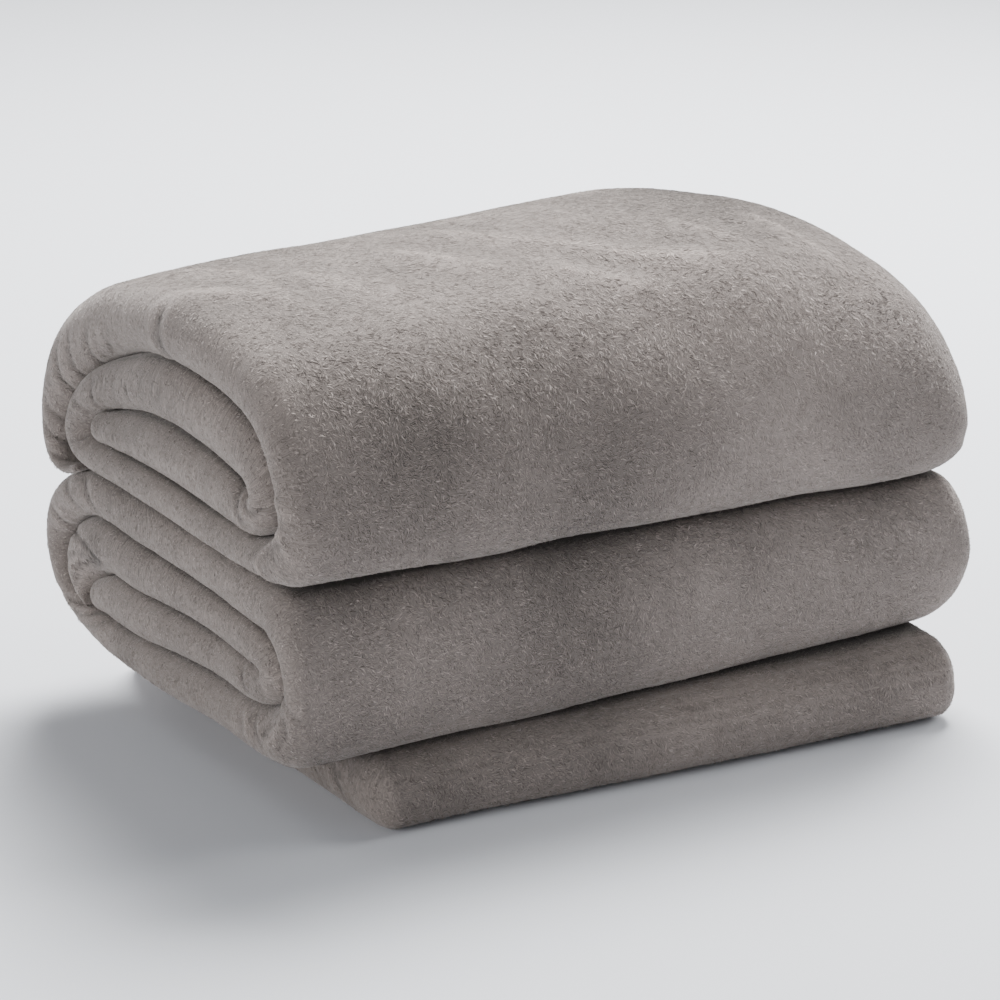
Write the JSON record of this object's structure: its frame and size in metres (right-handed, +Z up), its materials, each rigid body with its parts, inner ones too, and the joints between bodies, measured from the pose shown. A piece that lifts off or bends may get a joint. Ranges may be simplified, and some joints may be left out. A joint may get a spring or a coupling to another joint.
{
  "type": "weighted blanket",
  "caption": "Soft plush weighted blanket folded into stacked tiers, with its rolled and tucked layers showing at the ends.",
  "frame": {"origin": "middle of the base of the box round the folded blanket, on the surface that it rests on", "axes": "+X along the folds, the longest way; +Y to the back; +Z up. The broad front folds face -Y and the rolled layers show at both ends."},
  "size_m": [0.373, 0.2784, 0.2385],
  "materials": {
    "plush": "short dense pile, matt warm grey, slightly mottled where the nap lies in different ways"
  },
  "bodies": {
    "root": {"blanket": "plush"}
  },
  "joints": []
}
